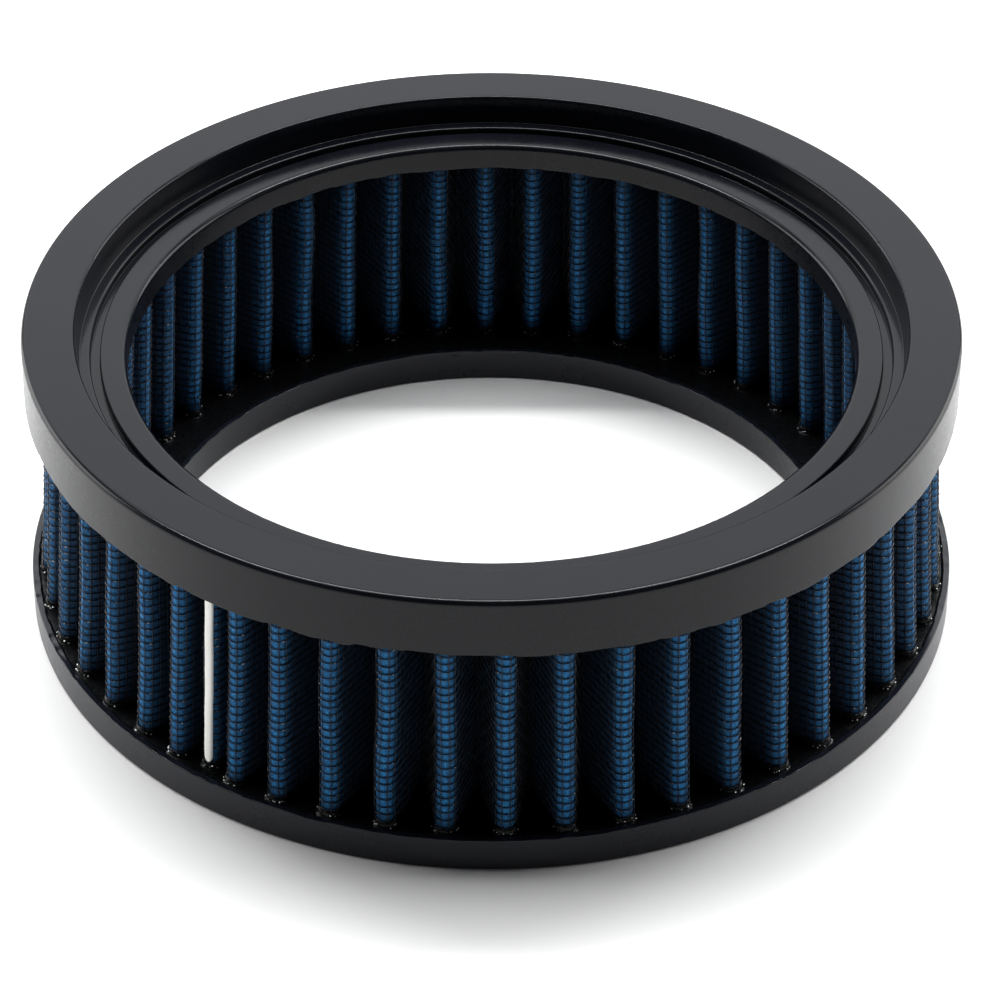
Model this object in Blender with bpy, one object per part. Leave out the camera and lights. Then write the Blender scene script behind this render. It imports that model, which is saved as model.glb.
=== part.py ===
"""Round pleated air filter element: two cast end rings hold a folded pack of wire screens and cotton gauze."""

import math

import bmesh
import bpy
from mathutils import Matrix, Vector

MM = 0.001

# Overall sizes, in millimetres. The element stands on its bottom ring, centred on the Z axis.
HEIGHT = 52.1
TOP_RADIUS = 76.2
BOTTOM_RADIUS = 76.7
BOTTOM_BORE = 57.0
EDGE = 0.6
RING_SIDES = 72

# Top ring: flange, two shallow ledges and a raised sealing lip around the mouth.
BAND_HEIGHT = 10.4
FLANGE_BORE = 67.6
WALL_DRAFT = 0.6
LEDGE_BORE = 65.2
LEDGE_DEPTH = 4.9
GROOVE_DEPTH = 6.2
LIP_RADIUS = 63.6
LIP_DEPTH = 4.9
MOUTH_RADIUS = 59.3
MOUTH_DEPTH = 9.4

# Bottom ring.
BOTTOM_THICKNESS = 5.9

# Folded pack. Layers are listed from the outside in.
PLEATS = 50
SEAM_ANGLE = -127.5
CREST_RADIUS = 74.2
VALLEY_RADIUS = 62.0
FLAT = 1.95
NARROWEST_FLAT = 0.12
SCREEN_THICKNESS = 0.25
PLY_THICKNESS = 0.12
LAYER_GAP = 0.2
PLY_COUNT = 4
POTTED_BOTTOM = 2.3
POTTED_TOP = 44.0
POTTING_GAP = 0.3

# The pack is wider at its foot than at its head by twice this, between the two rings.
SPLAY = 1.0

# Seam strip, on the crest of the fold where the two ends of the pack meet.
STRIP_ANGLE = 1.0
STRIP_WIDTH = 1.6
STRIP_DEPTH = 0.9
STRIP_ROUND = 0.3

PACK_THICKNESS = 2 * SCREEN_THICKNESS + PLY_COUNT * PLY_THICKNESS + (PLY_COUNT + 1) * LAYER_GAP


def clear_scene():
    for obj in list(bpy.data.objects):
        bpy.data.objects.remove(obj, do_unlink=True)


def material(name, colour, roughness, metallic=0.0):
    mat = bpy.data.materials.new(name)
    mat.use_nodes = True
    shader = mat.node_tree.nodes["Principled BSDF"]
    shader.inputs["Base Color"].default_value = (*colour, 1.0)
    shader.inputs["Roughness"].default_value = roughness
    shader.inputs["Metallic"].default_value = metallic
    mat.diffuse_color = (*colour, 1.0)
    return mat


def urethane():
    return material("urethane", (0.035, 0.036, 0.039), 0.38)


def screen_wire():
    return material("screen_wire", (0.05, 0.06, 0.075), 0.35, 0.85)


def cotton_gauze():
    return material("cotton_gauze", (0.01, 0.09, 0.24), 0.85)


def white_plastic():
    return material("white_plastic", (0.82, 0.81, 0.77), 0.45)


def add_object(name, bm, mat, smooth_angle=35.0):
    """Turn a bmesh in millimetres into a named object in metres."""
    bmesh.ops.scale(bm, vec=(MM, MM, MM), verts=bm.verts)
    mesh = bpy.data.meshes.new(name)
    bm.to_mesh(mesh)
    bm.free()
    mesh.shade_smooth()
    mesh.set_sharp_from_angle(angle=math.radians(smooth_angle))
    mesh.materials.append(mat)
    obj = bpy.data.objects.new(name, mesh)
    bpy.context.scene.collection.objects.link(obj)
    return obj


def turned(profile):
    """Spin a closed outline of (radius, height) points about the Z axis."""
    bm = bmesh.new()
    ring = [bm.verts.new((radius, 0.0, z)) for radius, z in profile]
    edges = [bm.edges.new((ring[i - 1], ring[i])) for i in range(len(ring))]
    bmesh.ops.spin(
        bm, geom=ring + edges, cent=(0, 0, 0), axis=(0, 0, 1),
        angle=math.tau, steps=RING_SIDES, use_merge=True,
    )
    bmesh.ops.remove_doubles(bm, verts=bm.verts, dist=0.001)
    bmesh.ops.recalc_face_normals(bm, faces=bm.faces)
    return bm


def top_ring_profile():
    under = HEIGHT - BAND_HEIGHT
    ledge = HEIGHT - LEDGE_DEPTH
    groove = HEIGHT - GROOVE_DEPTH
    lip = HEIGHT - LIP_DEPTH
    return [
        (TOP_RADIUS, under),
        (TOP_RADIUS, HEIGHT - EDGE),
        (TOP_RADIUS - EDGE, HEIGHT),
        (FLANGE_BORE + EDGE, HEIGHT),
        (FLANGE_BORE, HEIGHT - EDGE),
        (FLANGE_BORE - WALL_DRAFT, ledge),
        (LEDGE_BORE, ledge),
        (LEDGE_BORE, groove),
        (LIP_RADIUS, groove),
        (LIP_RADIUS, lip),
        (MOUTH_RADIUS + EDGE, lip),
        (MOUTH_RADIUS, lip - EDGE),
        (MOUTH_RADIUS, HEIGHT - MOUTH_DEPTH),
    ]


def bottom_ring_profile():
    return [
        (BOTTOM_BORE, EDGE),
        (BOTTOM_BORE + EDGE, 0.0),
        (BOTTOM_RADIUS - EDGE, 0.0),
        (BOTTOM_RADIUS, EDGE),
        (BOTTOM_RADIUS, BOTTOM_THICKNESS),
        (BOTTOM_BORE, BOTTOM_THICKNESS),
    ]


def fold_angle(count):
    """Angle of a fold counted from the seam; whole counts are crests and halves are valleys."""
    step = (180.0 + 4.7) / (PLEATS / 2)
    crowding = 4.7 * math.tanh(count / 1.45)
    drift = 1.2 * (1 - math.cos(math.tau * count / PLEATS))
    return math.radians(SEAM_ANGLE + step * count - crowding - drift)


def frame_at(angle):
    """Radial and tangential unit vectors at an angle."""
    radial = Vector((math.cos(angle), math.sin(angle)))
    return radial, Vector((-radial.y, radial.x))


def crossing(point_a, direction_a, point_b, direction_b):
    """Where two lines in the plane cross."""
    across = Vector((-direction_b.y, direction_b.x))
    travel = (point_b - point_a).dot(across) / direction_a.dot(across)
    return point_a + travel * direction_a


def fold_corner(limb_point, limb, angle, radius, side):
    """Where an offset limb meets the flat of its fold, or comes as near to the next limb as a flat may be."""
    radial, tangent = frame_at(angle)
    corner = crossing(limb_point, limb, radius * radial, tangent)
    half = side * corner.dot(tangent)
    if half >= NARROWEST_FLAT / 2:
        return corner
    return crossing(limb_point, limb, side * NARROWEST_FLAT / 2 * tangent, radial)


def limb_corners(crest_count, side, offset):
    """Crest and valley corners of the limb on one side of a crest, moved outwards by an offset."""
    half_pack = PACK_THICKNESS / 2
    crest_angle = fold_angle(crest_count)
    valley_angle = fold_angle(crest_count + side / 2)
    crest_radius = CREST_RADIUS - half_pack
    if crest_count == 0:
        crest_radius -= STRIP_DEPTH + POTTING_GAP
    valley_radius = VALLEY_RADIUS + half_pack
    crest_radial, crest_tangent = frame_at(crest_angle)
    valley_radial, valley_tangent = frame_at(valley_angle)
    crest = crest_radius * crest_radial + side * FLAT / 2 * crest_tangent
    valley = valley_radius * valley_radial - side * FLAT / 2 * valley_tangent
    limb = (valley - crest).normalized()
    outward = side * Vector((limb.y, -limb.x))
    moved = crest + offset * outward
    return (
        fold_corner(moved, limb, crest_angle, crest_radius + offset, side),
        fold_corner(moved, limb, valley_angle, valley_radius + offset, -side),
    )


def pleated_line(offset):
    """Closed zigzag outline of the pack at an offset from its middle."""
    points = []
    first = -(PLEATS // 2)
    for crest_count in range(first, first + PLEATS):
        crest, valley = limb_corners(crest_count, -1, offset)
        points += [valley, crest]
        crest, valley = limb_corners(crest_count, 1, offset)
        points += [crest, valley]
    return points


def splay_at(height):
    """How far the pack stands outside its mean radius at a height."""
    low, high = BOTTOM_THICKNESS, HEIGHT - BAND_HEIGHT
    return SPLAY * (low + high - 2 * height) / (high - low)


def splayed(point, height):
    """A point of the fold's outline, moved to where it is at a height."""
    moved = point + splay_at(height) * point.normalized()
    return moved.x, moved.y, height


def pleated_layer(outer_offset, inner_offset, bottom, top):
    """Closed folded sheet between two offsets of the zigzag."""
    bm = bmesh.new()
    outer_line, inner_line = pleated_line(outer_offset), pleated_line(inner_offset)
    foot_out, foot_in, head_out, head_in = (
        [bm.verts.new(splayed(point, height)) for point in line]
        for height in (bottom, top) for line in (outer_line, inner_line)
    )
    for i in range(len(outer_line)):
        bm.faces.new((foot_in[i - 1], foot_in[i], foot_out[i], foot_out[i - 1]))
        bm.faces.new((head_out[i - 1], head_out[i], head_in[i], head_in[i - 1]))
        bm.faces.new((foot_out[i - 1], foot_out[i], head_out[i], head_out[i - 1]))
        bm.faces.new((head_in[i - 1], head_in[i], foot_in[i], foot_in[i - 1]))
    return bm


def make_pack():
    """Outer screen, gauze plies and inner screen, nested from the outside in."""
    wire = screen_wire()
    gauze = cotton_gauze()
    layers = [("outer_wire_screen", SCREEN_THICKNESS, wire)]
    layers += [(f"gauze_ply_{number + 1}", PLY_THICKNESS, gauze) for number in range(PLY_COUNT)]
    layers += [("inner_wire_screen", SCREEN_THICKNESS, wire)]
    offset = PACK_THICKNESS / 2
    for name, thickness, mat in layers:
        bm = pleated_layer(offset, offset - thickness, POTTED_BOTTOM, POTTED_TOP)
        add_object(name, bm, mat)
        offset -= thickness + LAYER_GAP


def make_slot_cutter(name, bottom, top, mat):
    """Zigzag solid that leaves the pack clear of a ring."""
    reach = PACK_THICKNESS / 2 + POTTING_GAP
    cutter = add_object(name, pleated_layer(reach, -reach, bottom, top), mat)
    cutter.hide_render = True
    cutter.display_type = "WIRE"
    return cutter


def cut_slot(ring, cutter):
    cut = ring.modifiers.new("pleat_slot", "BOOLEAN")
    cut.operation = "DIFFERENCE"
    cut.solver = "EXACT"
    cut.object = cutter


def make_rings():
    mat = urethane()
    top = add_object("top_end_ring", turned(top_ring_profile()), mat)
    below_band = HEIGHT - BAND_HEIGHT - 5.0
    cut_slot(top, make_slot_cutter("top_slot", below_band, POTTED_TOP + POTTING_GAP, mat))
    bottom = add_object("bottom_end_ring", turned(bottom_ring_profile()), mat)
    above_ring = BOTTOM_THICKNESS + 5.0
    cut_slot(bottom, make_slot_cutter("bottom_slot", POTTED_BOTTOM - POTTING_GAP, above_ring, mat))


def make_seam_strip():
    """Upright strip with rounded front edges, standing between the two rings."""
    bottom = BOTTOM_THICKNESS + POTTING_GAP
    top = HEIGHT - BAND_HEIGHT - POTTING_GAP
    bm = bmesh.new()
    bmesh.ops.create_cube(bm, size=1.0)
    bmesh.ops.scale(bm, vec=(STRIP_DEPTH, STRIP_WIDTH, top - bottom), verts=bm.verts)
    front = [
        edge for edge in bm.edges
        if all(vert.co.x > 0 for vert in edge.verts) and edge.verts[0].co.y == edge.verts[1].co.y
    ]
    bmesh.ops.bevel(bm, geom=front, offset=STRIP_ROUND, segments=3, profile=0.5, affect="EDGES")
    centre = Vector((CREST_RADIUS - STRIP_DEPTH / 2, 0.0, (bottom + top) / 2))
    bmesh.ops.translate(bm, verts=bm.verts, vec=centre)
    lean = math.atan2(splay_at(bottom) - splay_at(top), top - bottom)
    bmesh.ops.rotate(bm, cent=centre, matrix=Matrix.Rotation(-lean, 3, "Y"), verts=bm.verts)
    strip = add_object("seam_strip", bm, white_plastic())
    strip.rotation_euler.z = fold_angle(0) + math.radians(STRIP_ANGLE)


def main():
    clear_scene()
    make_rings()
    make_pack()
    make_seam_strip()


main()
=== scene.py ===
"""Looks for the round pleated air filter element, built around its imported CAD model."""
import math

import bpy
import numpy as np
from mathutils import Euler, Matrix, Vector


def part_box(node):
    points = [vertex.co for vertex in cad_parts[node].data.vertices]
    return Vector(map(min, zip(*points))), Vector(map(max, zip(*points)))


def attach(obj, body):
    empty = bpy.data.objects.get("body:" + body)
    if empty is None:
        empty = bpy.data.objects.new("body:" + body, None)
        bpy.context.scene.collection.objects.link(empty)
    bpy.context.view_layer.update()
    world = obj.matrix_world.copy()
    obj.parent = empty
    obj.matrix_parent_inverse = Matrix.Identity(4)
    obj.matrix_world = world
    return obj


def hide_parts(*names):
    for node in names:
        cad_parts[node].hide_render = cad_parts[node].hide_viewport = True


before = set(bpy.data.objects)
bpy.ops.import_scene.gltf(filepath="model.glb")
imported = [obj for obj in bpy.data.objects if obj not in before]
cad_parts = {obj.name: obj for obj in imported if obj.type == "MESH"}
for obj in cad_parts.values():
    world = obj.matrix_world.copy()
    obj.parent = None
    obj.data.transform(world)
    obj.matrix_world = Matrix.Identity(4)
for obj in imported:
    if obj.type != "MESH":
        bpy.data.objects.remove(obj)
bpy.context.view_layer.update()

# Lengths are in millimetres, apart from the camera, lights, textures and floor, which are in metres.
MM = 0.001

# Sizes from the CAD boxes.
top_low, top_high = (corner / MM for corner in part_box("top_end_ring"))
_, bottom_high = (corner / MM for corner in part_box("bottom_end_ring"))
screen_low, screen_high = (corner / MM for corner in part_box("outer_wire_screen"))
strip_low, strip_high = (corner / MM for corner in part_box("seam_strip"))
HEIGHT = top_high.z
TOP_RADIUS = top_high.x
BAND_BOTTOM = top_low.z
BOTTOM_RADIUS = bottom_high.x
BOTTOM_TOP = bottom_high.z
POTTED_BOTTOM = screen_low.z
POTTED_TOP = screen_high.z

# Ring profiles that the boxes don't say.
BOTTOM_BORE = 57.0
FLANGE_BORE = 67.6
WALL_DRAFT = 0.6
LEDGE_BORE = 65.2
LEDGE_DEPTH = 4.9
GROOVE_DEPTH = 6.2
LIP_RADIUS = 63.6
LIP_DEPTH = 4.9
MOUTH_RADIUS = 59.3
MOUTH_DEPTH = 9.4
MOUTH_BOTTOM = HEIGHT - MOUTH_DEPTH

# What shows of the rings.
TOP_RING_STEPS = 960
BOTTOM_RING_STEPS = 1080
RIM_WIDTH = 1.0
POTTING_SURFACE = BOTTOM_TOP - 0.35

# The fold, as in the CAD; angles are in degrees. Folds crowd together on both sides of the seam, and drift
# a little on the far side.
PLEATS = 50
SEAM_ANGLE = -127.5
CROWDING = 4.7
CROWDING_REACH = 1.45
DRIFT = 1.2
CREST_RADIUS = 74.2
VALLEY_RADIUS = 62.0
PLY_THICKNESS = 0.12
PLY_COUNT = 4
STRIP_ANGLE = 1.0
STRIP_WIDTH = 1.4
STRIP_DEPTH = 0.85
SEAM_SETBACK = STRIP_DEPTH + 0.5
SPLAY = 1.0

# What shows of the pack is squeezed a little thinner than its CAD layers.
SCREEN_OFFSET = 0.72
SHOWN_CREST_FLAT = 1.55
SHOWN_VALLEY_FLAT = 1.2
FOLD_ROUNDING = 0.49 * SHOWN_VALLEY_FLAT / 0.79   # about the most that an inner fold has room for

# The wire mesh; the cloth and the wires have two samples to a cell.
CELLS_PER_PLEAT = 18
ROW_PITCH = 1.4
FIRST_ROW = 5.3
ROWS = 28
WIRE_RADIUS = 0.11
UPRIGHT_RADIUS = 0.07
WEAVE = 0.06
PER_PLEAT = 2 * CELLS_PER_PLEAT
HALF_PACK = SCREEN_OFFSET + WEAVE + WIRE_RADIUS

# The camera, in metres and degrees.
CAMERA_PLACE = (0.0, -0.646207, 0.491666)
CAMERA_TURN = (53.5886, -0.1707, -0.0026)
CAMERA_LENS = 173.4


# ---------------------------------------------------------------- camera

def add_camera():
    data = bpy.data.cameras.new("camera")
    data.sensor_width = 36.0
    data.lens = CAMERA_LENS
    data.clip_start = 0.05
    camera = bpy.data.objects.new("camera", data)
    turn = Euler([math.radians(angle) for angle in CAMERA_TURN])
    camera.matrix_world = Matrix.LocRotScale(Vector(CAMERA_PLACE), turn, None)
    bpy.context.scene.collection.objects.link(camera)
    bpy.context.scene.camera = camera


# ---------------------------------------------------------------- small helpers

def ripple(angle, seed, waves, size):
    """Smooth waviness round the ring: a few whole-number waves with random phases."""
    rng = np.random.default_rng(seed)
    total = np.zeros_like(angle)
    for wave in waves:
        total += np.sin(wave * angle + rng.uniform(0, math.tau)) / math.sqrt(len(waves))
    return size * total


def steps(angle, seed, count, size, sharp=0.75):
    """Irregular small steps round the ring, each level blending into the next over a short run."""
    rng = np.random.default_rng(seed)
    levels = rng.normal(0.0, size, count)
    along = (angle / math.tau % 1.0) * count
    base = np.floor(along).astype(int) % count
    part = np.clip((along - np.floor(along) - sharp) / (1 - sharp), 0, 1)
    part = part * part * (3 - 2 * part)
    return levels[base] * (1 - part) + levels[(base + 1) % count] * part


def bumps(angle, seed, count, size, width):
    """A few isolated nicks or lumps at random places round the ring."""
    rng = np.random.default_rng(seed)
    total = np.zeros_like(angle)
    for _ in range(count):
        centre, scale, breadth = rng.uniform(0, math.tau), rng.uniform(0.4, 1.0), rng.uniform(0.6, 1.4)
        away = np.angle(np.exp(1j * (angle - centre)))
        total += size * scale * np.exp(-(away / (width * breadth)) ** 2)
    return total


def quad_mesh(name, points, quads, material):
    """A mesh object in metres from points in millimetres and four-sided faces."""
    points = np.asarray(points, float).reshape(-1, 3) * MM
    quads = np.asarray(quads, np.int32).reshape(-1, 4)
    mesh = bpy.data.meshes.new(name)
    mesh.vertices.add(len(points))
    mesh.vertices.foreach_set("co", points.astype(np.float32).ravel())
    mesh.loops.add(quads.size)
    mesh.loops.foreach_set("vertex_index", quads.ravel())
    mesh.polygons.add(len(quads))
    mesh.polygons.foreach_set("loop_start", np.arange(0, quads.size, 4, dtype=np.int32))
    mesh.update(calc_edges=True)
    mesh.validate()
    mesh.shade_smooth()
    mesh.materials.append(material)
    obj = bpy.data.objects.new(name, mesh)
    bpy.context.scene.collection.objects.link(obj)
    return obj


def place(obj, slot, *nodes):
    """Tie a finished piece to the CAD frame."""
    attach(obj, "root")
    if nodes:
        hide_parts(*nodes)


def torus_quads(around, across):
    """Faces of a grid that closes on itself both ways."""
    i, j = np.meshgrid(np.arange(around), np.arange(across), indexing="ij")
    i2, j2 = (i + 1) % around, (j + 1) % across
    return np.stack([i * across + j, i2 * across + j, i2 * across + j2, i * across + j2], -1).reshape(-1, 4)


def tube_quads(along, sides, closed, start=0):
    """Faces of one tube of rings of points."""
    ring = np.arange(along if closed else along - 1)
    i, k = np.meshgrid(ring, np.arange(sides), indexing="ij")
    i2, k2 = (i + 1) % along, (k + 1) % sides
    quads = np.stack([i * sides + k, i * sides + k2, i2 * sides + k2, i2 * sides + k], -1)
    return start + quads.reshape(-1, 4)


def cap_quads(base, sides, flip):
    """Faces that close the end of a tube, in strips across its last ring of points."""
    quads = []
    for k in range(1, sides // 2):
        quad = [base + k - 1, base + k, base + sides - 1 - k, base + (sides - k) % sides]
        quads.append(quad[::-1] if flip else quad)
    return np.array(quads)


def fillet(before, corner, after, radius, count):
    """Points of an arc that rounds a corner between two straight runs."""
    into, out = (before - corner), (after - corner)
    a, b = into / np.linalg.norm(into), out / np.linalg.norm(out)
    half = math.acos(max(-1.0, min(1.0, float(a @ b)))) / 2
    if radius <= 0 or half > 1.5:
        return [corner]
    reach = radius / math.tan(half)
    centre = corner + (a + b) / np.linalg.norm(a + b) * radius / math.sin(half)
    start, end = corner + a * reach - centre, corner + b * reach - centre
    sweep = math.pi - 2 * half
    points = []
    for step in range(count + 1):
        t = step / count
        turned = math.sin((1 - t) * sweep) * start + math.sin(t * sweep) * end
        points.append(centre + turned / math.sin(sweep))
    return points


# ---------------------------------------------------------------- materials

def feed(tree, socket, value):
    """Link another node's output to a socket, or set the socket to a number or an RGB colour."""
    if isinstance(value, bpy.types.NodeSocket):
        tree.links.new(value, socket)
    elif isinstance(value, tuple):
        socket.default_value = (*value, 1.0)
    else:
        socket.default_value = value


def node(tree, kind, sockets=None, **settings):
    """A new node with its settings, and its sockets fed by name or by number."""
    made = tree.nodes.new(kind)
    for key, value in settings.items():
        setattr(made, key, value)
    for key, value in (sockets or {}).items():
        feed(tree, made.inputs[key], value)
    return made


def new_material(name):
    """A material, its node tree and its object coordinates in metres."""
    mat = bpy.data.materials.new(name)
    mat.use_nodes = True
    tree = mat.node_tree
    return mat, tree, node(tree, "ShaderNodeTexCoord").outputs["Object"]


def finish_shader(tree, sockets):
    for key, value in sockets.items():
        feed(tree, tree.nodes["Principled BSDF"].inputs[key], value)


def noise(tree, coords, scale, detail=3.0, roughness=0.55):
    sockets = {"Vector": coords, "Scale": scale, "Detail": detail, "Roughness": roughness}
    return node(tree, "ShaderNodeTexNoise", sockets).outputs["Fac"]


def remap(tree, value, low, high, new_low, new_high):
    sockets = {"Value": value, "From Min": low, "From Max": high, "To Min": new_low, "To Max": new_high}
    return node(tree, "ShaderNodeMapRange", sockets).outputs["Result"]


def spread(tree, noise_value, new_low=0.0, new_high=1.0):
    """Noise, which hardly leaves 0.3 to 0.7, stretched to a new range."""
    return remap(tree, noise_value, 0.3, 0.7, new_low, new_high)


def calc(tree, operation, *values):
    return node(tree, "ShaderNodeMath", dict(enumerate(values)), operation=operation).outputs["Value"]


def mix_colour(tree, factor, a, b):
    return node(tree, "ShaderNodeMix", {0: factor, 6: a, 7: b}, data_type="RGBA").outputs[2]


def bump(tree, height, strength, distance):
    sockets = {"Height": height, "Strength": strength, "Distance": distance}
    return node(tree, "ShaderNodeBump", sockets).outputs["Normal"]


def scaled(colour, factor):
    return tuple(part * factor for part in colour)


def satin_urethane(name, painted_lightening, gloss):
    """Cast urethane: almost black, satin, with faint mould marks and mottling. Its level faces came off a
    smoother mould face than its walls."""
    wall_roughness, level_roughness = 0.28, 0.14
    mat, tree, coords = new_material(name)
    broad = noise(tree, coords, 55.0, 4.0)
    fine = noise(tree, coords, 900.0, 5.0, 0.6)
    grain = noise(tree, coords, 4200.0, 2.0)
    # painted_lightening scales the colour: at 1 it is the urethane's own; above 1 the copy is painted
    # lighter, painted light.
    dark, pale = scaled((0.0024, 0.0028, 0.0044), painted_lightening), scaled((0.0036, 0.0040, 0.0062), painted_lightening)
    normal = node(tree, "ShaderNodeNewGeometry").outputs["Normal"]
    level = calc(tree, "ABSOLUTE", node(tree, "ShaderNodeSeparateXYZ", {"Vector": normal}).outputs["Z"])
    polish = remap(tree, level, 0.2, 0.9, wall_roughness, level_roughness)
    marks = calc(tree, "ADD", spread(tree, broad, -0.02, 0.03), spread(tree, fine, -0.02, 0.03))
    relief = calc(tree, "ADD", fine, calc(tree, "MULTIPLY", grain, 0.35))
    finish_shader(tree, {
        "Base Color": mix_colour(tree, spread(tree, broad), dark, pale),
        "Roughness": calc(tree, "ADD", polish, marks),
        "Specular IOR Level": gloss,
        "Normal": bump(tree, relief, 0.03, 0.0002),
    })
    return mat


def wet_urethane():
    """Urethane that set against nothing: black, glossy and lumpy."""
    mat, tree, coords = new_material("wet_urethane")
    lumps = noise(tree, coords, 750.0)
    fine = noise(tree, coords, 2600.0, 2.0)
    finish_shader(tree, {
        "Base Color": mix_colour(tree, lumps, (0.0022, 0.0024, 0.003), (0.005, 0.0055, 0.0065)),
        "Roughness": spread(tree, fine, 0.22, 0.4),
        "Specular IOR Level": 0.18,
        "Normal": bump(tree, lumps, 0.25, 0.0003),
    })
    return mat


def fold_shade(tree, across, shown_cell):
    """Painted shade: 1 at the shown fold, fading down the flank beside it, from the cloth's cell number."""
    from_fold = calc(tree, "PINGPONG", calc(tree, "ADD", across, 0.5 + shown_cell), CELLS_PER_PLEAT / 2)
    near_fold = remap(tree, from_fold, 0.3, 3.6, 1.0, 0.0)
    return remap(tree, calc(tree, "POWER", near_fold, 2.5), 0.0, 1.0, 0.012, 1.0)


def soak_and_band_shadow(tree, along):
    """Darker next to each ring: where the urethane has soaked into the cloth at the foot, and painted shadow
    under the top ring's band at the head.
    """
    foot = remap(tree, along, 0.6, 3.0, 0.15, 1.0)
    top_cell = (BAND_BOTTOM - FIRST_ROW) / ROW_PITCH
    # Painted shadow: the cloth is painted darker just under the top ring's band.
    head = remap(tree, along, top_cell - 2.6, top_cell + 0.2, 1.0, 0.3)
    return calc(tree, "MULTIPLY", foot, head)


def dyed_gauze(name, shown_cell, strength):
    """Blue oiled cotton behind the wires: pillowed in each mesh cell, with its own fine thread.
    It is painted darker away from the fold that shows, which is at the given cell of each pleat: painted
    shade down the flanks."""
    mat, tree, coords = new_material(name)
    cloth = node(tree, "ShaderNodeUVMap", uv_map="cloth").outputs["UV"]
    split = node(tree, "ShaderNodeSeparateXYZ", {"Vector": cloth})
    across, along = split.outputs["X"], split.outputs["Y"]

    def cross_weave(times):
        """0 on the lines of a grid, 1 between them."""
        waves = (calc(tree, "SINE", calc(tree, "MULTIPLY", way, times * math.pi)) for way in (across, along))
        return calc(tree, "MULTIPLY", *(calc(tree, "ABSOLUTE", wave) for wave in waves))

    pillow, thread = cross_weave(1.0), cross_weave(3.0)
    blotch = noise(tree, coords, 140.0)
    fibre = noise(tree, coords, 3500.0, 4.0)
    # Bright cyan specks: pale fibres, and painted glints on the oil.
    fibre_and_glint = remap(tree, noise(tree, coords, 2300.0, 2.0), 0.60, 0.72, 0.0, 0.8)
    # strength scales every dye colour; the inner copy's lower strength paints it darker, painted shade.
    deep, plain, pale, bright = (
        scaled(colour, strength)
        for colour in ((0.006, 0.10, 0.30), (0.009, 0.14, 0.40), (0.022, 0.27, 0.62), (0.09, 0.50, 0.88))
    )
    dye = mix_colour(tree, spread(tree, blotch), deep, plain)
    dye = mix_colour(tree, remap(tree, fibre, 0.38, 0.62, 0.0, 1.0), dye, pale)
    dye = mix_colour(tree, fibre_and_glint, dye, bright)
    # Painted shade: the cloth is painted darker along the wires at the edges of each cell, in the creases.
    shade_weave_and_soak = remap(tree, pillow, 0.0, 0.7, 0.45, 1.0)
    threads = remap(tree, thread, 0.0, 1.0, 0.7, 1.0)
    # Multiplied in: the weave's threads, painted shade down the flanks, the soak at the foot and painted
    # shadow under the band.
    for other in (threads, fold_shade(tree, across, shown_cell), soak_and_band_shadow(tree, along)):
        shade_weave_and_soak = calc(tree, "MULTIPLY", shade_weave_and_soak, other)
    relief = calc(tree, "ADD", pillow, calc(tree, "MULTIPLY", thread, 0.25))
    finish_shader(tree, {
        # The near-black blue is the colour of the painted shade.
        "Base Color": mix_colour(tree, shade_weave_and_soak, (0.0006, 0.004, 0.012), dye),
        "Roughness": 0.62,
        "Specular IOR Level": 0.16,
        "Sheen Weight": 0.12,
        "Sheen Tint": (0.2, 0.5, 1.0),
        "Normal": bump(tree, relief, 0.6, 0.00012),
    })
    return mat


def coated_wire():
    """Dark epoxy over aluminium wire: smooth on the shown folds, dull deep between them, where it is painted
    near-black as painted shade, and worn to bare metal here and there on the shoulders of each fold."""
    mat, tree, coords = new_material("coated_wire")
    from_fold = node(tree, "ShaderNodeAttribute", attribute_name="from_fold").outputs["Fac"]
    shown = calc(tree, "POWER", remap(tree, from_fold, 0.8, 4.5, 1.0, 0.0), 2.0)
    patch = noise(tree, coords, 420.0)
    patchy = remap(tree, patch, 0.35, 0.7, 0.0, 1.0)
    coating = mix_colour(tree, patchy, (0.0012, 0.005, 0.012), (0.003, 0.012, 0.028))
    # Painted shade: the coating is painted near-black deep between the shown folds.
    coating = mix_colour(tree, shown, (0.0003, 0.0011, 0.003), coating)
    past_crest = remap(tree, from_fold, 0.8, 1.0, 0.0, 1.0)
    before_flank = remap(tree, from_fold, 1.3, 1.5, 1.0, 0.0)
    rubbed = remap(tree, noise(tree, coords, 1500.0, 2.0), 0.56, 0.66, 0.0, 1.0)
    worn = calc(tree, "MULTIPLY", calc(tree, "MULTIPLY", past_crest, before_flank), rubbed)
    dullness = remap(tree, shown, 0.0, 1.0, 0.75, 0.3)
    finish_shader(tree, {
        "Base Color": mix_colour(tree, worn, coating, (0.34, 0.34, 0.33)),
        "Metallic": worn,
        "Roughness": calc(tree, "ADD", dullness, spread(tree, patch, -0.05, 0.07)),
        "Specular IOR Level": 0.32,
    })
    return mat


def bare_metal():
    """Cut ends of the aluminium wires."""
    mat, tree, coords = new_material("bare_metal")
    patch = noise(tree, coords, 900.0, 2.0)
    finish_shader(tree, {
        "Base Color": mix_colour(tree, patch, (0.80, 0.80, 0.80), (0.92, 0.92, 0.90)),
        "Roughness": spread(tree, patch, 0.25, 0.4),
        "Metallic": 1.0,
    })
    return mat


def white_plastic():
    """Moulded strip: off-white, smooth, very slightly yellowed and dusty."""
    mat, tree, coords = new_material("white_plastic_strip")
    broad = noise(tree, coords, 90.0)
    fine = noise(tree, coords, 1500.0)
    finish_shader(tree, {
        "Base Color": mix_colour(tree, spread(tree, broad), (0.86, 0.86, 0.82), (0.80, 0.79, 0.73)),
        "Roughness": spread(tree, fine, 0.3, 0.42),
        "Normal": bump(tree, fine, 0.12, 0.0001),
    })
    return mat


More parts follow.
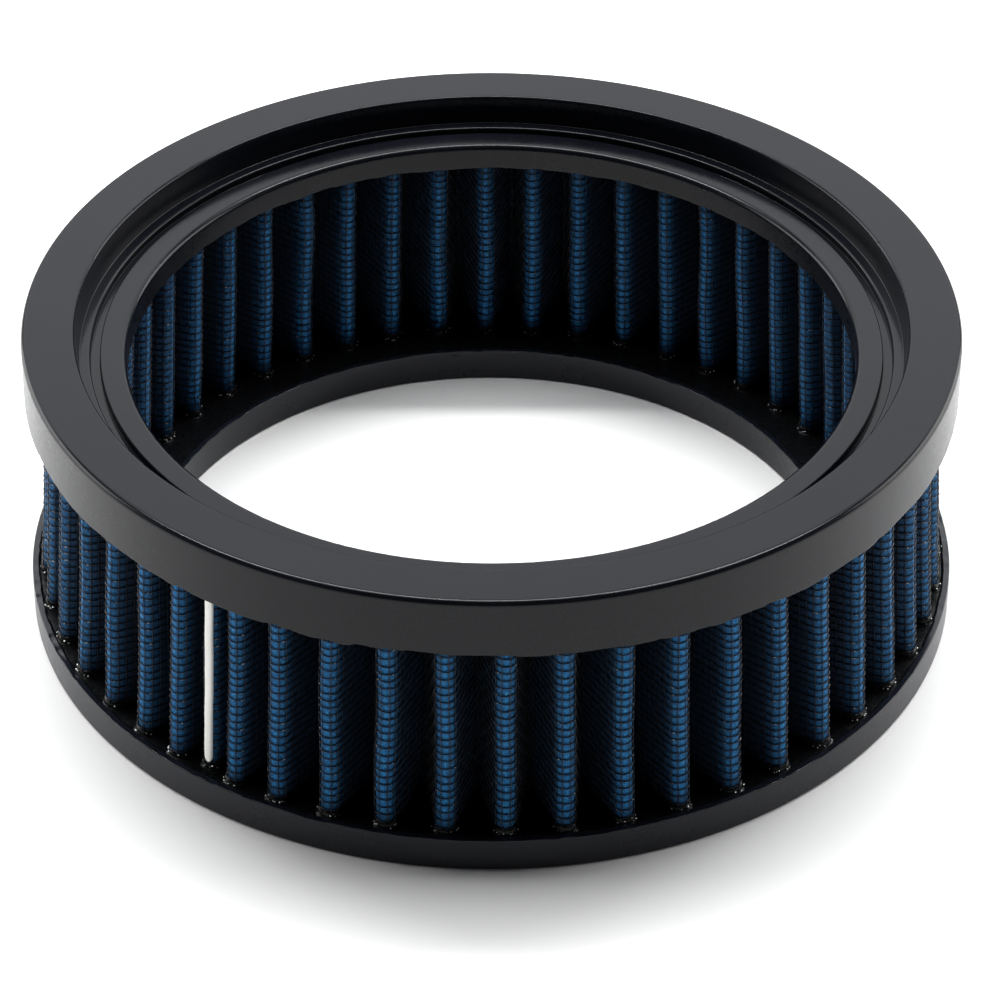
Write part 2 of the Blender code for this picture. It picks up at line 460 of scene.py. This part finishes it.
def pale_floor():
    """Matt white sweep, lit from within far from the object so that it meets the white surroundings."""
    glow_start, glow_full = 0.35, 1.3
    mat, tree, coords = new_material("pale_floor")
    away = node(tree, "ShaderNodeVectorMath", {0: coords}, operation="LENGTH").outputs["Value"]
    glow = calc(tree, "POWER", remap(tree, away, glow_start, glow_full, 0.0, 1.0), 1.5)
    finish_shader(tree, {
        "Base Color": mix_colour(tree, noise(tree, coords, 3.0), (0.92, 0.92, 0.92), (0.94, 0.94, 0.94)),
        "Roughness": 0.9,
        "Specular IOR Level": 0.1,
        "Emission Color": (1.0, 1.0, 1.0),
        "Emission Strength": calc(tree, "MULTIPLY", glow, 0.9),
    })
    return mat


# ---------------------------------------------------------------- rings

def ring_outline(corners, spacing):
    """Closed outline of (radius, height) with rounded corners; corners are (radius, height, rounding)."""
    outline = []
    for index, (r, z, rounding) in enumerate(corners):
        before, here, after = (np.array(corners[i % len(corners)][:2]) for i in (index - 1, index, index + 1))
        arc = fillet(before, here, after, rounding, 7 if rounding > 0.5 else 4)
        if outline:
            outline += straight(outline[-1], arc[0], spacing)
        outline += arc
    return np.array(outline + straight(outline[-1], outline[0], spacing))


def straight(start, end, spacing):
    """Points inside a straight run: one close to each end, which keeps the shading of flat faces flat, and
    others evenly between. A very short run gets none."""
    shortest, guard_length = 0.5, 0.12
    run = np.linalg.norm(end - start)
    if run < shortest:
        return []
    guard = min(guard_length, run / 4) / run
    count = max(0, round(run * (1 - 2 * guard) / spacing) - 1)
    shares = [guard] + [guard + (1 - 2 * guard) * (i + 1) / (count + 1) for i in range(count)] + [1 - guard]
    return [start + share * (end - start) for share in shares]


def lathe(name, outline, around, material, shape):
    """Sweep the outline round Z. shape(angle, radius, height) gives the moved radius and height."""
    angle = np.arange(around) / around * math.tau
    a, r = np.meshgrid(angle, outline[:, 0], indexing="ij")
    z = np.broadcast_to(outline[:, 1], a.shape)
    r, z = shape(a, r, z)
    points = np.stack([r * np.cos(a), r * np.sin(a), z], -1)
    return quad_mesh(name, points, torus_quads(around, len(outline)), material)


def near(value, target, width):
    """1 at the target, falling evenly to 0 a width away."""
    return np.clip(1 - np.abs(value - target) / width, 0, 1)


def make_top_ring(material):
    corners = [
        (TOP_RADIUS, BAND_BOTTOM, 0.22),
        (TOP_RADIUS, HEIGHT, 0.9),
        (FLANGE_BORE, HEIGHT, 0.55),
        (FLANGE_BORE - WALL_DRAFT, HEIGHT - LEDGE_DEPTH, 0.0),
        (LEDGE_BORE, HEIGHT - LEDGE_DEPTH, 0.32),
        (LEDGE_BORE, HEIGHT - GROOVE_DEPTH, 0.0),
        (LIP_RADIUS, HEIGHT - GROOVE_DEPTH, 0.0),
        (LIP_RADIUS, HEIGHT - LIP_DEPTH, 0.2),
        (MOUTH_RADIUS, HEIGHT - LIP_DEPTH, 0.85),
        (MOUTH_RADIUS, MOUTH_BOTTOM, 0.22),
    ]
    corners.reverse()

    def shape(a, r, z):
        # Ragged lower edges of the band and of the mouth wall.
        outer = near(r, TOP_RADIUS, 1.2) * near(z, BAND_BOTTOM, 0.9)
        inner = near(r, MOUTH_RADIUS, 1.2) * near(z, MOUTH_BOTTOM, 0.9)
        edge = ripple(a, 3, (7, 11, 17, 26, 31), 0.17) + steps(a, 4, 170, 0.12) + bumps(a, 5, 30, 0.26, 0.008)
        rim = ripple(a, 6, (5, 9, 16, 27), 0.12) + steps(a, 7, 150, 0.08)
        z = z + outer * np.clip(edge, -0.5, 0.6) + inner * np.clip(rim, -0.4, 0.5)
        # Nicks in the flange's two edges and in the lip's edge.
        nick = near(z, HEIGHT, 0.5) * near(r, FLANGE_BORE, 0.7)
        z = z - nick * bumps(a, 8, 16, 0.14, 0.004)
        outside = near(z, HEIGHT, 0.5) * near(r, TOP_RADIUS, 0.6)
        r = r - outside * bumps(a, 9, 12, 0.16, 0.004)
        lip = near(z, HEIGHT - LIP_DEPTH, 0.5) * near(r, MOUTH_RADIUS, 0.8)
        z = z - lip * bumps(a, 10, 30, 0.16, 0.005)
        # The flange isn't quite level.
        flat = near(z, HEIGHT, 0.05)
        z = z - flat * np.abs(0.03 + ripple(a, 11, (2, 3, 5, 8), 0.012))
        return r, z

    ring = lathe("top_ring", ring_outline(corners, 1.3), TOP_RING_STEPS, material, shape)
    place(ring, "urethane", "top_end_ring")


def make_bottom_ring(satin, wet):
    rim, inner_rim = BOTTOM_TOP, BOTTOM_TOP - 0.1
    corners = [
        (BOTTOM_BORE, 0.0, 0.4),
        (BOTTOM_RADIUS, 0.0, 0.4),
        (BOTTOM_RADIUS, rim, 0.16),
        (BOTTOM_RADIUS - RIM_WIDTH, rim, 0.14),
        (BOTTOM_RADIUS - RIM_WIDTH - 0.35, POTTING_SURFACE, 0.14),
        (BOTTOM_BORE + 1.2, POTTING_SURFACE, 0.14),
        (BOTTOM_BORE + 0.9, inner_rim, 0.14),
        (BOTTOM_BORE, inner_rim, 0.16),
    ]

    def shape(a, r, z):
        # The outer rim: a ragged top, a wandering inner edge and torn flakes beside it.
        outer = near(r, BOTTOM_RADIUS - 0.3, 1.1) * near(z, rim, 0.5)
        ragged = ripple(a, 13, (9, 14, 23, 37), 0.10) + steps(a, 14, 260, 0.08)
        z = z + outer * np.clip(ragged, -0.3, 0.0)
        lip = near(r, BOTTOM_RADIUS - 1.1, 0.4) * near(z, rim, 0.5)
        r = r + lip * (ripple(a, 15, (21, 34, 47, 61), 0.07) + steps(a, 16, 300, 0.07))
        z = z + near(r, BOTTOM_RADIUS - 1.5, 0.6) * bumps(a, 17, 60, 0.25, 0.006) * 0.5
        # The inner rim, and the wavy surface of the potting.
        inner = near(r, BOTTOM_BORE + 0.4, 1.0) * near(z, rim, 0.5)
        z = z + inner * np.clip(ripple(a, 18, (8, 13, 21, 35), 0.12) + steps(a, 19, 200, 0.09), -0.4, 0.05)
        wavy = (r > BOTTOM_BORE + 1.1) & (r < BOTTOM_RADIUS - 1.3) & (z > BOTTOM_TOP / 2)
        z = z + wavy * ripple(a + 0.02 * r, 20, (50, 71, 96), 0.06)
        return r, z

    ring = lathe("bottom_ring", ring_outline(corners, 1.6), BOTTOM_RING_STEPS, satin, shape)

    # The faces between the two rims are the free surface of the urethane.
    ring.data.materials.append(wet)
    across = len(ring.data.vertices) // BOTTOM_RING_STEPS
    coordinates = np.zeros(len(ring.data.vertices) * 3, np.float32)
    ring.data.vertices.foreach_get("co", coordinates)
    points = coordinates.reshape(-1, 3) / MM
    radius = np.hypot(points[:, 0], points[:, 1])
    quads = torus_quads(BOTTOM_RING_STEPS, across)
    middle_radius, middle_height = radius[quads].mean(1), points[:, 2][quads].mean(1)
    free = (middle_radius > BOTTOM_BORE + 0.95) & (middle_radius < BOTTOM_RADIUS - RIM_WIDTH - 0.02)
    free &= middle_height > BOTTOM_TOP / 2
    ring.data.polygons.foreach_set("material_index", free.astype(np.int32))
    place(ring, "urethane", "bottom_end_ring")


# ---------------------------------------------------------------- the fold

def fold_angle(count):
    """Angle of a fold counted from the seam; whole counts are crests and halves are valleys."""
    step = (180.0 + CROWDING) / (PLEATS / 2)
    crowding = CROWDING * math.tanh(count / CROWDING_REACH)
    drift = DRIFT * (1 - math.cos(math.tau * count / PLEATS))
    return math.radians(SEAM_ANGLE + step * count - crowding - drift)


def frame_at(angle):
    """Unit vectors outwards and round the ring at an angle."""
    radial = np.array((math.cos(angle), math.sin(angle)))
    return radial, np.array((-radial[1], radial[0]))


def limb_corners(count, side):
    """Crest and valley corners of the middle line on one side of a crest."""
    crest_radius = CREST_RADIUS - HALF_PACK - (SEAM_SETBACK if count % PLEATS == 0 else 0.0)
    radial, tangent = frame_at(fold_angle(count))
    crest = crest_radius * radial + side * SHOWN_CREST_FLAT / 2 * tangent
    radial, tangent = frame_at(fold_angle(count + side / 2))
    valley = (VALLEY_RADIUS + HALF_PACK) * radial - side * SHOWN_VALLEY_FLAT / 2 * tangent
    return crest, valley


def pleat_line(count):
    """Middle line of the pack from the centre of one crest to the centre of the next, with rounded folds."""
    crest, valley = limb_corners(count, 1)
    following = count + 1
    if following > PLEATS // 2 - 1:
        following -= PLEATS
    next_crest, next_valley = limb_corners(following, -1)
    first = crest - SHOWN_CREST_FLAT / 2 * frame_at(fold_angle(count))[1]
    last = next_crest + SHOWN_CREST_FLAT / 2 * frame_at(fold_angle(following))[1]
    line = [first]
    corners = [first, crest, valley, next_valley, next_crest, last]
    for before, corner, after in zip(corners, corners[1:], corners[2:]):
        line += fillet(before, corner, after, FOLD_ROUNDING, 10)
    return np.array(line + [last])


def pack_line():
    """The whole middle line, its normals, and the crest count at each point; it closes on itself."""
    lines, counts = [], []
    first = -(PLEATS // 2)
    for count in range(first, first + PLEATS):
        line = pleat_line(count)
        run = np.concatenate([[0], np.cumsum(np.linalg.norm(np.diff(line, axis=0), axis=1))])
        lines.append(line[:-1])
        counts.append(count + run[:-1] / run[-1])
    line, count = np.concatenate(lines), np.concatenate(counts)
    ahead = np.roll(line, -1, 0) - line
    side = np.stack([ahead[:, 1], -ahead[:, 0]], -1)
    side /= np.linalg.norm(side, axis=1, keepdims=True)
    normal = side + np.roll(side, 1, 0)
    normal /= np.linalg.norm(normal, axis=1, keepdims=True)
    return line, normal, count


LINE, NORMAL, COUNT = pack_line()


def radial_lines(halves):
    """Unit vectors along the crests, or along the valleys."""
    return np.array([frame_at(fold_angle(count + halves))[0] for count in range(-PLEATS // 2, PLEATS // 2)])


def held_apart(offset, clearance=0.03):
    """The offset at each point of the line, cut short where it would meet the next limb."""
    lines = radial_lines(0.5 if offset > 0 else 0.0)
    cross = LINE[:, None, 0] * lines[None, :, 1] - LINE[:, None, 1] * lines[None, :, 0]
    ahead = (LINE @ lines.T) > 0
    nearest = np.where(ahead, np.abs(cross), np.inf).argmin(1)
    rows = np.arange(len(LINE))
    place_across = cross[rows, nearest]
    move_across = NORMAL[:, 0] * lines[nearest, 1] - NORMAL[:, 1] * lines[nearest, 0]
    room = np.where(
        place_across * move_across * offset < 0,
        np.maximum(np.abs(place_across) - clearance, 0) / np.maximum(np.abs(move_across), 1e-6),
        np.inf,
    )
    return np.sign(offset) * np.minimum(abs(offset), room)


def layer(offset, per_pleat=PER_PLEAT):
    """Evenly spaced samples of the line at an offset: points, outward normals and crest counts.
    Each pleat starts at the centre of its crest."""
    moved = LINE + NORMAL * held_apart(offset)[:, None]
    starts = np.flatnonzero(np.abs(COUNT - np.round(COUNT)) < 1e-9)
    points, normals, counts = [], [], []
    for number, start in enumerate(starts):
        end = starts[number + 1] if number + 1 < len(starts) else len(LINE)
        index = np.arange(start, end + 1) % len(LINE)
        part = moved[index]
        run = np.concatenate([[0], np.cumsum(np.linalg.norm(np.diff(part, axis=0), axis=1))])
        wanted = np.arange(per_pleat) / per_pleat * run[-1]
        points.append(np.stack([np.interp(wanted, run, part[:, axis]) for axis in (0, 1)], -1))
        normals.append(np.stack([np.interp(wanted, run, NORMAL[index][:, axis]) for axis in (0, 1)], -1))
        ends = COUNT[index].copy()
        ends[-1] = ends[0] + 1
        counts.append(np.interp(wanted, run, ends))
    normal = np.concatenate(normals)
    normal /= np.linalg.norm(normal, axis=1, keepdims=True)
    return np.concatenate(points), normal, np.concatenate(counts)


def splay_at(height):
    """How far the pack stands outside its mean radius at a height: it is wider at its foot."""
    return SPLAY * (BOTTOM_TOP + BAND_BOTTOM - 2 * height) / (BAND_BOTTOM - BOTTOM_TOP)


def sway(points, count, height):
    """The splay of the pack, and a small wander of the folds along their height, the same for every layer."""
    sideways, outwards, pulled_in = 0.055, 0.025, 0.08
    rng = np.random.default_rng(31)
    shift = np.zeros(np.broadcast(count, height).shape)
    reach = np.zeros_like(shift)
    for wave in (7, 11, 17, 22, 29, 33):
        phase, other, rise, lift = rng.uniform(0, math.tau, 2).tolist() + rng.uniform(0.08, 0.26, 2).tolist()
        shift = shift + sideways * np.sin(math.tau * wave * count / PLEATS + rise * height + phase)
        reach = reach + outwards * np.sin(math.tau * wave * count / PLEATS + lift * height + other)
    up = np.clip((height - BOTTOM_TOP) / (BAND_BOTTOM - BOTTOM_TOP), 0, 1)
    held = np.sin(math.pi * up) ** 0.5
    radius = np.linalg.norm(points, axis=-1, keepdims=True)
    radial = points / radius
    tangent = np.stack([-radial[..., 1], radial[..., 0]], -1)
    moved = splay_at(height) + held * (reach - pulled_in)
    return points + (held * shift)[..., None] * tangent + moved[..., None] * radial


def on_pack(points, normal, count, extra, height):
    """3-D points from samples of the line moved outwards by extra, at the heights given."""
    flat = points + normal * extra[..., None]
    flat = sway(flat, count, height)
    return np.concatenate([flat, np.broadcast_to(height, flat.shape[:-1])[..., None]], -1)


# ---------------------------------------------------------------- wire screens

def mark_folds(obj, from_fold):
    """Store at each vertex how many mesh cells it is from the fold that shows."""
    marks = obj.data.attributes.new("from_fold", "FLOAT", "POINT")
    marks.data.foreach_set("value", np.asarray(from_fold, np.float32).ravel())


def diamond(centre, out, side, radius):
    """A square ring of points round each centre, standing on its corner."""
    return np.stack([centre + radius * direction for direction in (out, side, -out, -side)], -2)


def make_screen(name, node_name, offset, material):
    """Plain-woven wires: level ones in three pieces, one above the other, and upright ones in two halves."""
    points, normal, count = layer(offset)
    total = len(points)
    rows = FIRST_ROW + ROW_PITCH * np.arange(ROWS)
    rng = np.random.default_rng(41)
    uneven = 1 + 0.12 * rng.standard_normal(ROWS * total).reshape(ROWS, total)

    middle = CELLS_PER_PLEAT / 2
    from_fold = np.abs((np.arange(total) / 2 + middle) % CELLS_PER_PLEAT - middle)
    if offset < 0:
        from_fold = middle - from_fold

    def join(part, rings, quads, folds):
        piece = quad_mesh(f"{name}_{part}", np.concatenate(rings), np.concatenate(quads), material)
        mark_folds(piece, folds)
        place(piece, "screen_wire", node_name)

    normal3 = np.concatenate([normal, np.zeros((total, 1))], -1)
    tangent3 = np.stack([-normal[:, 1], normal[:, 0], np.zeros(total)], -1)
    upright3 = np.broadcast_to((0.0, 0.0, 1.0), (total, 3))

    # Level wires: at each upright wire they pass over or under it.
    wire_number = np.arange(total) // 2
    at_wire = np.arange(total) % 2
    for part, chosen in zip(("lower", "middle", "upper"), np.array_split(np.arange(ROWS), 3)):
        rings, quads = [], []
        for row in chosen:
            over = np.where((wire_number + row) % 2 == 0, 1.0, -1.0) * at_wire * WEAVE
            level = rows[row] + 0.10 * np.sin(count * 2.1 + row) + 0.03 * uneven[row] * at_wire
            centre = on_pack(points, normal, count, over, level)
            quads.append(tube_quads(total, 4, True, 4 * total * len(rings)))
            rings.append(diamond(centre, normal3, upright3, WIRE_RADIUS).reshape(-1, 3))
        join(f"level_wires_{part}", rings, quads, np.tile(np.repeat(from_fold, 4), len(chosen)))

    # Upright wires, which run on a little past the first and the last level wire.
    heights = np.concatenate([[rows[0] - ROW_PITCH * 0.4], rows, [rows[-1] + ROW_PITCH * 0.4]])
    tall = len(heights)
    rank = np.arange(tall) - 1
    for part, chosen in zip(("first_half", "second_half"), np.array_split(np.arange(total // 2), 2)):
        rings, quads = [], []
        for wire in chosen:
            at = 2 * wire + 1
            over = np.where((wire + rank) % 2 == 0, -1.0, 1.0) * WEAVE
            over[[0, -1]] = 0.0
            spot, out = (np.broadcast_to(value[at], (tall, 2)) for value in (points, normal))
            centre = on_pack(spot, out, np.full(tall, count[at]), over, heights)
            first = 4 * tall * len(rings)
            last = first + 4 * (tall - 1)
            quads.append(tube_quads(tall, 4, False, first))
            quads.append(np.array([np.arange(first + 3, first - 1, -1), np.arange(last, last + 4)]))
            rings.append(diamond(centre, normal3[at], tangent3[at], UPRIGHT_RADIUS).reshape(-1, 3))
        join(f"upright_wires_{part}", rings, quads, np.repeat(from_fold[2 * chosen + 1], 4 * tall))


# ---------------------------------------------------------------- gauze

def make_ply(name, node_name, offset, rows, material):
    """One folded sheet of gauze with a real thickness, and its developed length in metres.
    Its UV map counts mesh cells: pleat by pleat across, and up from the first level wire."""
    points, normal, count = layer(offset)
    total = len(points)
    heights = np.linspace(POTTED_BOTTOM, POTTED_TOP, rows)

    def face(out):
        flat = np.full(total, out)
        return np.stack([on_pack(points, normal, count, flat, np.full(total, height)) for height in heights])

    outline = np.concatenate([face(PLY_THICKNESS / 2), face(-PLY_THICKNESS / 2)[::-1]]).transpose(1, 0, 2)
    obj = quad_mesh(name, outline, torus_quads(total, 2 * rows), material)
    sample = np.broadcast_to(np.arange(total)[:, None], (total, 2 * rows))
    across = np.stack([sample, sample + 1, sample + 1, sample], -1) / 2 - 0.5
    up = (np.concatenate([heights, heights[::-1]]) - FIRST_ROW) / ROW_PITCH
    lower = np.broadcast_to(up, (total, 2 * rows))
    higher = np.roll(lower, -1, 1)
    along = np.stack([lower, lower, higher, higher], -1)
    cloth = obj.data.uv_layers.new(name="cloth")
    cloth.data.foreach_set("uv", np.stack([across, along], -1).astype(np.float32).ravel())
    place(obj, "cotton_gauze", node_name)
    length = np.linalg.norm(np.diff(np.concatenate([points, points[:1]]), axis=0), axis=1).sum() * MM
    return obj, length


# ---------------------------------------------------------------- potting and strip

def make_collar(name, side, level, rise, material, seed):
    """Urethane drawn up the pack where it enters a ring: a thin ragged band that follows every fold."""
    per_pleat = 3 * CELLS_PER_PLEAT
    # Out from the wires, and up as a share of the rise.
    section = (
        (-0.45, -0.5), (0.5, -0.5), (0.42, 0.0), (0.2, 0.06),
        (0.09, 0.2), (0.05, 0.6), (0.02, 1.15), (-0.45, 1.3),
    )
    total = PLEATS * per_pleat
    rng = np.random.default_rng(seed)
    wave = np.convolve(rng.standard_normal(total + 16), np.ones(9) / 9, "same")[8:-8]
    fine = rng.standard_normal((len(section), total))
    rings = []
    for index, (across, up) in enumerate(section):
        points, _, count = layer(side * (HALF_PACK + across), per_pleat)
        reach = np.clip(1 + 0.8 * wave + 0.16 * fine[index], 0.3, 2.0) if up > 0 else np.ones(total)
        height = level + rise * up * reach
        flat = sway(points, count, height)
        rings.append(np.concatenate([flat, height[:, None]], -1))
    outline = np.stack(rings, 1)
    if side * rise > 0:
        outline = outline[:, ::-1]
    obj = quad_mesh(name, outline, torus_quads(total, len(section)), material)
    place(obj, "urethane")


def ball():
    """A small unit sphere: its points in rings round Z, and its faces, with flat poles."""
    rows, columns = 5, 8
    polar = (np.arange(rows) + 0.5) / rows * math.pi
    around = np.arange(columns) / columns * math.tau
    p, t = np.meshgrid(polar, around, indexing="ij")
    points = np.stack([np.sin(p) * np.cos(t), np.sin(p) * np.sin(t), np.cos(p)], -1).reshape(-1, 3)
    caps = cap_quads(0, columns, False), cap_quads((rows - 1) * columns, columns, True)
    return points, np.concatenate([tube_quads(rows, columns, False)[:, ::-1], *caps])


def make_wire_tips(name, side, level, material, seed):
    """Cut wire ends standing a little out of the urethane at the foot of each shown fold."""
    rng = np.random.default_rng(seed)
    shown_share, reach = 0.34, 0.065
    points, normal, count = layer(side * (HALF_PACK + 0.05), 4 * CELLS_PER_PLEAT)
    target = np.round(count) if side > 0 else np.floor(count) + 0.5
    near_fold = np.flatnonzero(np.abs(count - target) < reach)
    unit, faces = ball()
    all_points, all_faces, start = [], [], 0
    for index in near_fold:
        if rng.random() > shown_share:
            continue
        size = rng.uniform(0.08, 0.15)
        height = level + rng.uniform(0.0, 0.45)
        spot = points[index] + normal[index] * side * rng.uniform(0.0, 0.3)
        flat = sway(spot[None], count[index:index + 1], np.array([height]))[0]
        shape = unit * size * np.array((rng.uniform(0.8, 1.6), rng.uniform(0.8, 1.6), rng.uniform(0.7, 1.2)))
        all_points.append(shape + np.array((*flat, height)))
        all_faces.append(faces + start)
        start += len(unit)
    obj = quad_mesh(name, np.concatenate(all_points), np.concatenate(all_faces), material)
    place(obj, "screen_wire")


def make_strip(material):
    """White strip at the seam, rounded in front and at its foot."""
    radial, tangent = frame_at(fold_angle(0) + math.radians(STRIP_ANGLE))
    low, high = strip_low.z + 1.9, strip_high.z + 0.6
    foot, squareness = 1.15, 0.62
    rounded = low + foot * (1 - np.cos(np.linspace(0.0, math.pi / 2, 9)))
    heights = np.concatenate([rounded, np.linspace(low + 2, high, 34)])
    turn = np.linspace(0, math.tau, 25)[:-1]
    across = np.sign(np.cos(turn)) * np.abs(np.cos(turn)) ** squareness * STRIP_WIDTH / 2
    deep = np.sign(np.sin(turn)) * np.abs(np.sin(turn)) ** squareness * STRIP_DEPTH / 2
    rings = []
    for height in heights:
        gone = np.clip((low + foot - height) / foot, 0, 1)
        narrow = math.sqrt(max(1 - gone ** 2, 0.004))
        wander = 0.03 * math.sin(height * 0.33) + 0.02 * math.sin(height * 0.9 + 1)
        spot = radial * (CREST_RADIUS - STRIP_DEPTH / 2 + splay_at(height)) + tangent * wander
        ring = spot + np.outer(across * narrow, tangent) + np.outer(deep * (0.5 + 0.5 * narrow), radial)
        rings.append(np.concatenate([ring, np.full((len(turn), 1), height)], -1))
    points = np.stack(rings)
    count, sides = points.shape[:2]
    caps = cap_quads(0, sides, True), cap_quads((count - 1) * sides, sides, False)
    quads = np.concatenate([tube_quads(count, sides, False), *caps])
    strip = quad_mesh("white_seam_strip", points, quads, material)
    place(strip, "white_plastic", "seam_strip")


# ---------------------------------------------------------------- stage

# Name, place, aim, width, height, power and colour of each lamp, in metres and watts.
WHITE, COOL = (1.0, 1.0, 1.0), (0.96, 0.98, 1.0)
LAMPS = (
    ("back_softbox", (0.0, 0.80, 0.56), (0, 0, 0.04), 1.3, 0.5, 4.3, COOL),
    ("overhead_softbox", (0.0, 0.22, 0.85), (0, 0, 0), 0.95, 0.55, 8.7, WHITE),
    ("edge_strip_light", (0.0, 0.24, 0.76), (0, -0.07, 0.05), 0.9, 0.045, 6.0, WHITE),
    ("left_softbox", (-0.75, 0.32, 0.30), (0, 0, 0.03), 0.7, 0.5, 6.0, WHITE),
    ("right_softbox", (0.75, 0.32, 0.30), (0, 0, 0.03), 0.7, 0.5, 6.0, WHITE),
)


def add_lamp(name, lamp_place, aim, width, height, watts, colour):
    data = bpy.data.lights.new(name, "AREA")
    data.shape = "RECTANGLE"
    data.size, data.size_y = width, height
    data.energy = watts
    data.color = colour
    lamp = bpy.data.objects.new(name, data)
    lamp.location = lamp_place
    lamp.rotation_euler = (Vector(aim) - Vector(lamp_place)).to_track_quat("-Z", "Y").to_euler()
    bpy.context.scene.collection.objects.link(lamp)


def add_world(lit, seen):
    """White surroundings: one strength for the light they give, and one for how the camera sees them."""
    world = bpy.data.worlds.new("studio")
    world.use_nodes = True
    tree = world.node_tree
    by_camera = node(tree, "ShaderNodeLightPath").outputs["Is Camera Ray"]
    background = tree.nodes["Background"].inputs
    feed(tree, background["Color"], WHITE)
    feed(tree, background["Strength"], remap(tree, by_camera, 0.0, 1.0, lit, seen))
    bpy.context.scene.world = world


def make_stage():
    half = 4 / MM
    points = [(-half, -half, 0), (half, -half, 0), (half, half, 0), (-half, half, 0)]
    floor = quad_mesh("floor", points, [[0, 1, 2, 3]], pale_floor())
    add_world(0.05, 0.93)
    for lamp in LAMPS:
        add_lamp(*lamp)
    bpy.context.scene.view_settings.view_transform = "Standard"


# ---------------------------------------------------------------- assembly

def make_pack():
    outer_gauze = dyed_gauze("dyed_gauze_outer", 0.0, 0.78)
    # The inner copy's dye level is lower, 0.65 against 0.78: painted shade inside the ring.
    inner_gauze = dyed_gauze("dyed_gauze_inner_painted_darker", CELLS_PER_PLEAT / 2, 0.65)
    wire = coated_wire()
    make_screen("outer_screen", "outer_wire_screen", SCREEN_OFFSET, wire)
    make_screen("inner_screen", "inner_wire_screen", -SCREEN_OFFSET, wire)
    # The plies lie evenly between the two screens; the two that show get more rows of points.
    first = SCREEN_OFFSET - WEAVE - WIRE_RADIUS - 0.02 - PLY_THICKNESS / 2
    for number in range(PLY_COUNT):
        rows = 26 if number in (0, PLY_COUNT - 1) else 10
        offset = first - number * 2 * first / (PLY_COUNT - 1)
        name = f"gauze_ply_{number + 1}"
        gauze = outer_gauze if number < PLY_COUNT / 2 else inner_gauze
        ply, length = make_ply(f"folded_{name}", name, offset, rows, gauze)


def main():
    add_camera()
    make_stage()
    wet = wet_urethane()
    make_top_ring(satin_urethane("satin_urethane_top", 1.0, 0.18))
    # The bottom ring's urethane is the top's, painted 2.6 times lighter: painted light on its dim wall.
    make_bottom_ring(satin_urethane("satin_urethane_bottom_painted_lighter", 2.6, 0.3), wet)
    make_pack()
    make_collar("outer_foot_potting", 1, POTTING_SURFACE, 0.8, wet, 51)
    make_collar("inner_foot_potting", -1, POTTING_SURFACE, 0.8, wet, 52)
    make_collar("outer_head_potting", 1, BAND_BOTTOM + 0.1, -0.6, wet, 53)
    make_collar("inner_head_potting", -1, MOUTH_BOTTOM - 0.1, -0.6, wet, 54)
    metal = bare_metal()
    make_wire_tips("outer_wire_tips", 1, BOTTOM_TOP - 0.05, metal, 55)
    make_wire_tips("inner_wire_tips", -1, BOTTOM_TOP - 0.05, metal, 56)
    make_strip(white_plastic())


main()
